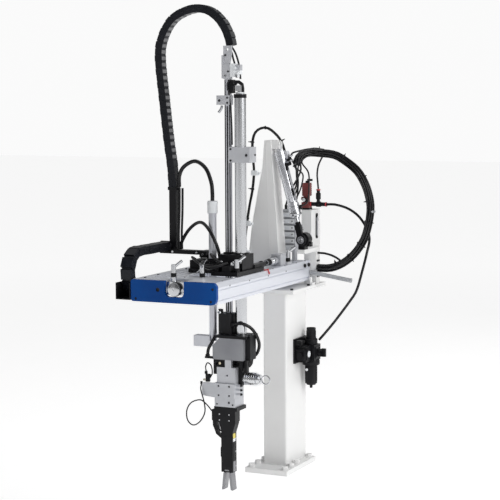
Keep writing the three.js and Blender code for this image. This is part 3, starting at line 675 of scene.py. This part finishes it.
TANGLE = [
    [(8, 104, 832), (18, 100, 866), (26, 90, 905), (30, 76, 945), (42, 70, 982), (64, 84, 1004), (94, 106, 1008)],
    [(-2, 104, 832), (6, 98, 870), (20, 84, 900), (28, 68, 940), (34, 58, 975), (50, 62, 1002), (76, 84, 1014),
     (104, 110, 1010)],
    [(30, 18, 994), (38, 24, 1004), (54, 42, 1010), (74, 74, 1014), (100, 104, 1008)],
    [(65, 12, 834), (82, 22, 852), (84, 34, 900), (74, 50, 938), (50, 62, 970), (64, 82, 994), (92, 104, 1000)],
    [(-4, 50, 1000), (12, 50, 984), (24, 60, 955), (28, 76, 915), (12, 92, 875), (-14, 104, 832)],
    [(-26, 104, 832), (-10, 96, 868), (14, 80, 902), (36, 62, 922), (50, 56, 950), (46, 64, 984), (66, 88, 1004),
     (98, 112, 1004)],
    [(38, 14, 962), (50, 24, 950), (58, 44, 930), (44, 66, 900), (24, 90, 866), (-2, 106, 836)],
]


def add_tangle():
    """Thin hoses from the valves, the cylinder's ports and the fin that gather into the start of the loop."""
    for k, route in enumerate(TANGLE):
        loose = [Vector(p) + Vector([rng.uniform(-3, 3) for _ in range(3)]) for p in route[1:-1]]
        hose(f"valve_hose_{k}", [route[0], *loose, route[-1]], 2.5 + 0.2 * (k % 3), "beam", steps=30)


def add_valves():
    caps, labels, blocks = Piece(), Piece(), Piece()
    for k in range(6):
        z = 688 + 21 * k
        caps.box(-30, 12, 79.6, 81.8, z + 1.5, z + 15.5)
        caps.box(-24, -10, 122.4, 130, z + 3, z + 14)
        labels.box(-27, -4, 78.9, 79.7, z + 4, z + 6)
        labels.box(-27, -4, 78.9, 79.7, z + 9, z + 11)
        blocks.box(-32.5, 14.5, 80.8, 84.8, z + 16.2, z + 18.6)
        blocks.turned((6, 79.7, z + 9), -Y, [(2.6, 0), (2.6, 1.4), (2, 2)], 14)
    caps.done("valve_caps", "white_plastic", "beam", bevel=0.6)
    labels.done("valve_labels", "aluminium_profile", "beam")
    blocks.done("valve_gaps", "grey_machined", "beam", bevel=0.2)
    fittings = Piece()
    for k, x in enumerate((-26, -14, -2, 8)):
        fittings.turned((x, 104, 818), Z, [(5, 0, 6), (5, 4, 6), (4.2, 5), (4.6, 6), (4.6, 13), (3.8, 14)], 18)
    fittings.done("valve_fittings", "black_plastic", "beam")


# ---- swing cylinder
EYE = Vector((66.6, 20, 729))  # the lower eye, where the rod's fork meets the pedestal
LEAN = Matrix.Rotation(math.radians(-15.65), 3, "Y")  # from the lower eye up to the barrel's pivot on the fin


def leaned(s, x=0, y=0):
    """A place s millimetres up the cylinder from its lower eye, and x and y to the side."""
    return EYE + LEAN @ Vector((x, y, s))


def add_cylinder_details():
    axis = LEAN @ Z
    body = Piece().turned(leaned(119.5), axis, [(16.6, 0), (16.6, 2.2), (16.1, 2.6)], 32)
    body.turned(leaned(257), axis, [(16.1, 0), (16.7, 0.4), (16.7, 2.8)], 32)
    body.turned(leaned(79), -axis, [(13, 0), (13, 5), (9, 6.5), (6.4, 6.5), (6.2, 3)], 28)
    for s, r in ((90, 19.4), (106, 19.4), (270, 18.9)):
        body.turned(leaned(s), axis, [(r - 0.8, 0), (r, 0.5), (r, 3.2), (r - 0.8, 3.7)], 32)
    body.done("cylinder_rings", "chrome", "cylinder_barrel")
    skin = Piece().turned(leaned(122.2), axis, [(16.2, 0), (16.3, 0.4), (16.3, 133.6), (16.2, 134)], 48)
    skin.done("barrel_skin", "barrel", "cylinder_barrel")
    lower = Piece().turned(leaned(78.2), axis, [(19.2, 0), (19.6, 0.6), (19.6, 11), (19.2, 11.6)], 32)
    lower.done("cylinder_lower_cap", "bright_steel", "cylinder_barrel")
    ports = Piece()
    for s, x in ((254, 26), (240, 22), (98, 20)):
        base = leaned(s, x - 6, -1)
        out = LEAN @ X
        ports.turned(base, out, [(5.2, 0, 6), (5.2, 5, 6), (4.2, 6), (4.2, 12), (3.4, 13)], 18)
        ports.turned(base + out * 9, LEAN @ Vector((0.2, 0, 1)), [(3.6, -4), (4.2, -3), (4.2, 9), (3.4, 10)], 16)
    ports.done("cylinder_ports", "black_plastic", "cylinder_barrel")
    knobs = Piece()
    for s, x in ((264, 30), (250, 27)):
        knobs.turned(leaned(s, x, -2), LEAN @ X, [(2.6, 0), (4, 1, 6), (4, 5, 6), (3, 6), (3, 10), (2.2, 11)], 18)
    knobs.done("flow_controls", "chrome", "cylinder_barrel")
    strip = Piece().bar(leaned(126, 13.6, -10), leaned(250, 13.6, -10), 3, 2, LEAN @ Y)
    for s in (140, 222):
        strip.bar(leaned(s, 15.5, -10.5), leaned(s + 24, 15.5, -10.5), 5.5, 5, LEAN @ Y)
    strip.done("cylinder_switches", "black_plastic", "cylinder_barrel", bevel=0.4)
    fork = Piece().bar(leaned(4, 0, -6), leaned(40, 0, -6), 12.9, 18.8, LEAN @ X)
    fork.bar(leaned(36, 0, -5), leaned(50, 0, -5), 19.5, 14.6, LEAN @ Y)
    fork.turned(leaned(50, 0, 0), axis, [(9, 0, 6), (9, 7, 6), (6.2, 8)], 24)
    fork.done("rod_fork", "black_paint", "cylinder_rod", bevel=0.6)
    for name, material, y, profile, sides in (
            ("eye_ring", "black_paint", 7.4, [(16.6, -12), (16.6, -1), (15.6, 0), (11.4, 0), (11, -0.6)], 36),
            ("eye_bearing", "grey_machined", 7.4, [(11.6, -2), (11.6, 0.6), (10.4, 1.1), (8.2, 0.6), (7.8, -0.2)], 36),
            ("eye_pin", "chrome", 7.2, [(6.4, -2), (6.4, 0.6), (5.6, 1.6), (2.6, 1.6), (2.2, 0.6), (0, 0.6)], 32)):
        Piece().turned((EYE.x, y, EYE.z), -Y, profile, sides).done(name, material, "cylinder_rod")
    housing = Piece()
    housing.turned((EYE.x, 21.8, EYE.z), -Y, [(21.4, -2), (21.4, 0.2), (20.6, 0.9), (16.4, 0.9), (15.8, 0)], 40)
    housing.screw((86.6, 26, 714), -Y, 4.8, 4.4)
    housing.done("eye_housing_face", "black_paint", "pedestal")


# ---- pedestal details
def add_pedestal_details():
    weld = Piece()
    loop = [(-41, -46), (41, -46), (41, 116), (-41, 116)]
    for z in (17.2, 562.2):
        for a, b in zip(loop, loop[1:] + loop[:1]):
            weld.cyl((*a, z), (*b, z), 2, 10)
    weld.done("column_welds", "white_paint", "pedestal")
    screws = Piece()
    for x, y, z, d in ((52, 213, 600, Y), (64, 150, 650, X), (64, 163, 650, X), (64, 150, 600, X), (64, 163, 600, X)):
        screws.screw((x - (1 if d is X else 0), y, z), d, 3.6, 3)
    for x in (-36, 56):
        for y in (-38, 96):
            screws.screw((x, y, 575), Z, 5, 5)
    screws.done("head_screws", "screw_black", "pedestal", bevel=0.2)
    slot = Piece()
    outer = [(178, 719), (192, 719), (195, 724), (195, 796), (192, 801), (178, 801), (175, 796), (175, 724)]
    slot.prism("x", outer, 46.9, 47.7)
    slot.box(43, 50, 180, 190, 722, 730)
    slot.box(43, 50, 180, 190, 788, 797)
    slot.done("slot_shade", "black_plastic", "pedestal", bevel=0.3)
    rod = Piece().cyl((48.4, 185, 726), (48.4, 185, 792), 3.4, 20, 1)
    rod.turned((48.4, 185, 776), Z, [(4.4, 0), (4.4, 9), (3.8, 10)], 20)
    rod.done("slot_rod", "grey_plastic", "pedestal")
    tip = Piece().turned((187.5, 130, 593.4), (140, 0, -21), [(7, -1), (7.6, 0), (7.6, 2.6), (6.6, 3.4)], 24)
    tip.done("bar_tip", "grey_plastic", "pedestal")


def spokes(count):
    """Unit vectors evenly spread round Z."""
    return [Vector((math.cos(a), math.sin(a), 0)) for a in (2 * math.pi * k / count for k in range(count))]


def add_air_preparation():
    x, y = 69.5, 85  # the regulator's upright axis
    knob = Piece()
    knob.turned((x, y, 412.6), Z, [(14.6, 0), (15.2, 1), (15.2, 20), (14.4, 22), (14.4, 25), (12.6, 28.4)], 36)
    for u in spokes(20):
        knob.bar(Vector((x, y, 415)) + u * 15.1, Vector((x, y, 431)) + u * 15.1, 2.2, 1.4, u)
    knob.done("knob_grip", "black_plastic", "regulator_knob", bevel=0.3)
    frl = Piece()
    for k in range(4):
        frl.turned((x, y, 389 + 4.2 * k), Z, [(20.2, 0), (21, 0.6), (21, 2.4), (20.2, 3)], 32)
    frl.turned((x, y, 323), Z, [(27.4, 0), (28, 1), (28, 12), (27, 14), (24, 15)], 32)
    for u in spokes(8):
        frl.bar(Vector((x, y, 268)) + u * 19.6, Vector((x, y, 320)) + u * 19.6, 6.5, 1.6, u)
    frl.turned((x, y, 262.5), -Z, [(19.8, -2), (18, 0), (14, 5), (8, 7), (5, 7.4), (4.6, 15.6), (3.4, 16.2)], 28)
    frl.box(44, 78, 14.5, 20.4, 346, 380)
    frl.box(78.8, 81, 26, 54, 344, 382)
    frl.box(91.8, 94, 66, 102, 344, 382)
    frl.done("frl_shell", "black_plastic", "pedestal", bevel=0.6)
    trim = Piece().turned((79.4, 40, 363), X, [(10.5, 0), (10.5, 2.2), (9.4, 3), (8.6, 2.2), (0, 2.2)], 28)
    trim.turned((x - 6, y - 21.4, 308), -Y, [(4.6, 0), (4.6, 3), (3.6, 4)], 20)
    trim.done("frl_window", "white_plastic", "pedestal")
    screws = Piece()
    for sy in (20, 92):
        screws.screw((46.4, sy, 402), X, 4.4, 4)
    screws.screw((94, 72, 350), X, 2.6, 2)
    screws.screw((94, 96, 376), X, 2.6, 2)
    screws.done("frl_screws", "screw_black", "pedestal")
    red = Piece()
    for bx, by, bz, d in ((35, 163, 832, X), (88, 163, 832, X), (62, 163, 877, Z)):
        red.turned((bx, by, bz), d, [(7.4, 0), (7.4, 2.6), (6.4, 3.4), (5, 3.4)], 24)
    red.turned((20, 155, 822), -Y, [(4.6, 0), (4.6, 2.4), (3.8, 3)], 18)
    red.done("push_rings", "red_plastic", "pedestal")
    coil = Piece()
    for k in range(6):
        coil.box(9.4, 33.6, 151.4, 176.6, 861 + 6.3 * k, 864.4 + 6.3 * k)
    coil.done("coil_ribs", "red_coil", "pedestal", bevel=0.3)
    foot = Piece().box(7, 35, 149, 177, 813.9, 820)
    foot.turned((21, 150, 846), -Y, [(8, 0), (8, 3), (6, 4)], 20)
    foot.done("valve_foot", "black_plastic", "pedestal", bevel=0.6)
    button = Piece().turned((18, 152.5, 846), -Y, [(6.2, 0), (6.2, 6), (5, 7), (0, 7)], 24)
    button.done("valve_button", "white_plastic", "pedestal")


def add_bundle_ties():
    """Ties on the hose loop and a plug that stands out of it."""
    line = smooth_line(BUNDLE, 60)
    ties = Piece()
    for k, tail in ((9, Z), (16, Z), (24, X), (31, -X), (37, X), (44, X), (49, -Z), (54, Z)):
        ties.tie(line[k], line[k + 1] - line[k - 1], 11.4, tail, 7)
    plug = Piece()
    p = line[34] + X * 6
    plug.turned(p, X, [(4.5, 0), (4.5, 5), (2.4, 6), (2.4, 9), (3.4, 10), (3.4, 13), (2.4, 14)], 16)
    for name, piece, material in (("bundle_ties", ties, "black_plastic"), ("bundle_plug", plug, "grey_plastic")):
        bend(piece.done(name, material), *BUNDLE_SWING)


# ---- carriage and arm details
def on_tube(z):
    """A place on the axis of the arm's big tube."""
    return 5, -297, z


def add_carriage_details():
    frame_parts = Piece().turned((-279.5, -272, 724), X, [(13.5, 0), (15.5, 1.5), (15.5, 41), (13.5, 42.6)], 32)
    frame_parts.box(-277, -237, -285, -256, 706, 724)
    frame_parts.box(-140, -118, -286.5, -285, 694, 712)
    frame_parts.box(-247, -217, -285.6, -258.4, 896, 906)
    frame_parts.done("chain_brackets", "black_paint", "carriage", bevel=0.8)
    screws = Piece()
    for x, z in ((-262, 724), (-232, 708), (-150, 708), (-129, 703)):
        screws.screw((x, -285.4, z), -Y, 3.4, 2.6)
    for x, y in ((-140, -318), (-140, -272), (-40, -330), (22, -330), (-40, -272), (22, -272)):
        top = 690 if x < -72 else 712
        screws.screw((x, y, top), Z, 3.6, 3.2)
    for x in (-38, 0, 24):
        screws.screw((x, -340, 690), -Y, 3.4, 2.8)
    screws.done("carriage_screws", "chrome", "carriage")
    wipers = Piece().box(-47, -22, -311, -283, 711.5, 716)
    wipers.turned(on_tube(711.5), Z, [(24, 0), (24, 3.4), (23, 4.2), (17.7, 4.2), (17.7, 0)], 36)
    wipers.turned((-89, -297, 689.5), Z, [(19, 0), (19, 4.4), (18, 5.2), (12.5, 5.2), (12.5, 0)], 32)
    wipers.box(-44, -26, -386, -345, 665.5, 678)
    wipers.box(-14, 12, -388, -346, 665.5, 684)
    wipers.done("carriage_blocks", "black_paint", "carriage", bevel=0.8)
    collar = Piece().turned((-89, -297, 831), Z, [(14, 0), (15.6, 1), (15.6, 33), (14.4, 36.6), (8, 37)], 32)
    collar.done("lift_collar", "white_plastic", "carriage")
    bright = Piece().turned((8, -366, 684), Z, [(6, 0, 6), (6, 5, 6), (4, 6), (4, 9)], 18)
    bright.turned((-35, -366, 678), Z, [(5, 0), (5, 5), (3.4, 6)], 18)
    bright.turned((24, -352, 690), (0.6, -0.5, 0.5), [(3, 0), (3, 8), (4.6, 9), (5.2, 12), (4.6, 15), (2, 17)], 20)
    bright.done("carriage_bright", "chrome", "carriage")
    loops = [([(-84, -330, 684), (-92, -352, 690), (-80, -384, 684), (-52, -396, 676), (-26, -392, 682),
               (-2, -372, 690)], 4.6),
             ([(-70, -318, 700), (-72, -344, 712), (-50, -368, 704), (-24, -372, 690), (-10, -364, 686)], 4.2),
             ([(-140, -312, 692), (-138, -338, 700), (-112, -364, 692), (-84, -372, 682), (-44, -366, 680)], 3.6)]
    for k, (route, radius) in enumerate(loops):
        hose(f"carriage_loop_{k}", route, radius, "carriage", steps=22)
    for k, x in enumerate((-214, -207)):
        y = -276 + 6 * k
        route = [(x, y, 716), (x - 1, y, 760), (x + 1, y + 2, 830), (x + 1, y + 4, 902)]
        hose(f"post_hose_{k}", route, 3.6, "carriage", steps=20)
    deck = [(-88, -483, 657), (-82, -466, 662), (-77, -445, 664), (-82, -415, 664), (-84, -380, 676), (-88, -350, 690),
            (-92, -330, 693)]
    hose("deck_cable", deck, 1.8, None, between=("beam", "carriage", (-88, -480, 657), (-88, -350, 657)), steps=24,
         material="grey_plastic")


TUBE_SKIN = 17.15  # mm, just outside the arm tube and inside the carriage's bore


def add_arm_details():
    black = Piece().turned(on_tube(1174), Z, [(18.4, 0), (19, 0.8), (19, 10.6), (17.6, 12)], 36)
    black.box(-31, -14, -306, -290, 1188, 1228)
    black.bar((-27, -304, 1205), (-3, -304, 1216), 6, 6)
    black.turned(on_tube(1194), Z, [(7, 0, 6), (7, 5, 6), (6, 6), (6, 9)], 18)
    black.tube([(13, -297, 1190), (13, -297, 1206), (10, -297, 1216), (2, -299, 1221), (-10, -301, 1221)], 5.4, 12)
    # The two full-length thin black strips on the rail's front face are painted shade in the rail's slots.
    black.box(-43.2, -40.4, -304, -303.2, 480, 1228)
    black.box(-28.6, -26, -304, -303.2, 480, 1228)
    black.box(-36.4, -32.4, -303.8, -303.2, 536, 1150)
    black.box(6, 11, -279, -275.5, 540, 980)
    black.done("arm_black_parts_and_slot_shade", "black_paint", "arm", bevel=0.5)
    white = Piece().turned(on_tube(1186), Z, [(12, 0), (13.6, 0.8), (13.6, 4.6), (12, 5.4)], 28)
    white.box(-24, -8, -306.2, -286.4, 1236, 1275)
    white.box(-7, 8.4, -305.6, -286.4, 1243.4, 1255)
    white.turned((2, -304, 1250), -Z, [(4.6, 0), (4.6, 14), (3.4, 15)], 16)
    white.turned((-6, -306, 1262), -Y, [(4.4, 0), (4.4, 3), (3.4, 4), (0, 4)], 20)
    white.done("arm_white_parts", "white_plastic", "arm", bevel=0.5)
    screws = Piece()
    for x, y, z, d in ((-40, -303, 1240, -Y), (-40, -303, 1300, -Y), (-30, -305, 1252, -Y), (-52, -290, 1250, -X),
                       (-52, -290, 1285, -X), (-57, -312, 1167, -Y), (-30, -312, 1175, -Y), (-30, -312, 1160, -Y),
                       (-16, -321, 990, -Y), (-16, -321, 1024, -Y), (46, -284, 1006, X), (35, -321, 1006, -Y)):
        screws.screw((x, y, z), d, 3, 2.4)
    for k in range(11):
        screws.turned((-34.5, -303.2, 560 + 56 * k), -Y, [(2.6, 0), (2.6, 0.9), (2, 1.2), (1.6, 0.5), (0, 0.5)], 14)
    screws.done("arm_screws", "screw_black", "arm")
    tube = Piece()
    for low, high in ((542, 983.4), (1030.6, 1173.4)):  # below and above the tube clamp
        tube.turned(on_tube(low), Z, [(TUBE_SKIN, 0), (TUBE_SKIN, high - low)], 64)
    tube.done("tube_skin", "bright_steel", "arm")
    guide = Piece().turned((-12, -281, 1066), Z, [(5.6, -6), (5.6, 0.5), (4.6, 1.4)], 20)
    for z in (984, 1026):
        guide.turned(on_tube(z), Z, [(17.5, 0), (20.2, 0.4), (20.2, 3.6), (17.5, 4)], 36)
    guide.done("arm_bright_parts", "chrome", "arm")
    routes = [([(-40, -290, 1330), (-27, -290, 1312), (-20, -291, 1290), (-12, -294, 1268), (-6, -297, 1234)], 3),
              ([(-32, -284, 1330), (-18, -284, 1310), (-8, -286, 1288), (0, -290, 1262), (6, -296, 1230)], 3),
              ([(-27, -306, 1190), (-24, -309, 1172), (-21, -307, 1140), (-20, -304, 1090), (-20, -302, 1036)], 2.6),
              ([(-6, -300, 1218), (-16, -306, 1226), (-26, -309, 1224), (-31, -309, 1212), (-30, -308, 1196)], 2.4)]
    for k, (route, radius) in enumerate(routes):
        hose(f"arm_top_hose_{k}", route, radius, "arm", steps=18)


# ---- wrist and gripper details
def add_wrist_details():
    screws = Piece()
    for x in (-46, -11):
        for z in (290, 318):
            screws.screw((x, -349.4, z), -Y, 2.7, 1.6)
    for x, z in ((-56, 390), (26, 390), (-54, 262), (-2, 262)):
        screws.screw((x, -345, z), -Y, 2.4, 1.2)
    for z in (320, 307, 294):
        screws.turned((19, -333, z), X, [(4.2, 0, 6), (4.2, 3.4, 6), (2.4, 4), (2.4, 6)], 18)
    for z in (365, 330):
        screws.screw((18, -312, z), X, 4, 3.2)
    screws.turned((-52, -324, 540), Z, [(4, 0), (6, 5.4), (6, 6.6), (4, 7.2)], 18)
    screws.done("wrist_screws", "screw_black", "arm")
    bright = Piece().screw((-54, -325, 533), Z, 6, 6)
    for k in range(5):
        bright.turned((22 + 7.4 * k, -300, 337), X, [(19.4, 0), (19.9, 0.4), (19.9, 1.8), (19.4, 2.2)], 36)
    bright.turned((58, -300, 337), X, [(15, 0), (15.6, 0.6), (15.6, 9), (12, 12.4), (6, 12.6)], 32)
    bright.done("plunger_rings", "chrome", "arm")
    black = Piece()
    for x, y, z, d in ((-86, -342, 407, -Z), (30, -264, 398, -Z), (-10, -318, 500, -X)):
        black.turned((x, y, z), d, [(6.4, -3), (6.8, -2), (6.8, 5), (5, 6.6)], 20)
    black.box(-94, -66, -346, -334, 398, 404)
    black.box(-92, -80, -346, -336, 326.6, 350)
    black.turned((-92, -341, 350), Z, [(4.6, 0), (4.6, 8), (3.6, 9)], 18)
    black.turned((-80, -341, 340), (0.5, 0, 1), [(4.2, 0), (4.2, 9), (3.4, 10)], 18)
    black.box(33, 50, -330, -290, 398, 470)
    black.box(33, 42, -338, -326, 360, 398)
    black.box(-50, -34, -340, -322, 378, 394)
    black.box(-64, -58, -345, -338, 378, 392)
    black.turned((-104, -349, 322), -Z, [(3.6, -6), (3.6, 2), (2.6, 4)], 16)
    black.done("wrist_fittings", "black_plastic", "arm", bevel=0.6)
    brass = Piece().turned((-89, -341, 404), Z, [(5.2, 0, 6), (5.2, 5, 6), (4, 6)], 18)
    brass.turned((-44, -343, 386), -Y, [(4, 0), (4, 3), (3, 4)], 18)
    brass.turned((-96, -341, 332), -X, [(3.4, 0), (3.4, 4), (2.6, 5)], 16)
    brass.done("wrist_brass", "brass", "arm")
    hose("wrist_loop", [(-92, -341, 359), (-93, -342, 372), (-86, -343, 384), (-75, -343, 378), (-71, -342, 362),
                        (-72, -341, 348)], 1.9, "arm", steps=24)
    for k, y in enumerate((-322, -312, -302)):
        route = [(44 - k, y, 470), (46 - k, y, 440), (44, y + 2, 410), (40, y + 4, 384), (30, y + 8, 372)]
        hose(f"wrist_side_hose_{k}", route, 2.6, "arm", steps=16)


def add_gripper_details():
    screws = Piece()
    for x in (-46, -14):
        for z in (232, 214):
            screws.screw((x, -345, z), -Y, 2.2, 1)
    for z in (158, 118, 74):
        screws.screw((-3, -324, z), X, 2.4, 1.2)
    screws.done("gripper_screws", "chrome", "wrist")
    shell = Piece().prism("y", [(-40, 162), (-4, 170), (-4, 70), (-40, 70)], -345.9, -344.9)
    shell.box(-3.1, -2.2, -341, -322, 92, 146)
    shell.turned((-50, -334, 180), (0.5, 0, -1), [(2.4, -6), (2.4, 3), (1.6, 4)], 16)
    shell.box(-45.5, -40.5, -341, -322, 104, 126)
    shell.done("gripper_shell", "black_plastic", "wrist", bevel=0.7)
    bright = Piece().box(-29, -15, -346.2, -345.2, 60, 64)
    bright.box(-3.1, -2.3, -341, -325, 58, 90)
    bright.turned((-54, -334, 207.6), (0.15, 0, -1), [(1.8, 0), (1.8, 26), (1.2, 27)], 14)
    bright.done("gripper_bright", "blade_steel", "wrist", bevel=0.3)
    for name, material, low, high in (("gripper_label", "yellow_label", 160, 174),
                                      ("gripper_label_low", "white_plastic", 150, 159)):
        Piece().box(-3.2, -2.4, -342, -326, low, high).done(name, material, "wrist")
    for side, name in ((-1, "left_finger"), (1, "right_finger")):
        grip = Piece()
        for k in range(5):
            z = 4 + 3.2 * k
            x = -22 + side * (11.3 - (z - 2) * 3.7 / 28)  # the blade's slanting inner face
            grip.box(min(x - side * 0.3, x + side * 1.5), max(x - side * 0.3, x + side * 1.5), -343, -317, z, z + 1.6)
        grip.done(f"{name}_teeth", "blade_steel", name)


add_camera()
add_hoses()
add_chains()
dress_cad()
add_beam_details()
add_collars()
add_shock_absorber()
add_fin_details()
add_valves()
add_tangle()
add_cylinder_details()
add_pedestal_details()
add_air_preparation()
add_bundle_ties()
add_carriage_details()
add_arm_details()
add_wrist_details()
add_gripper_details()
add_studio()
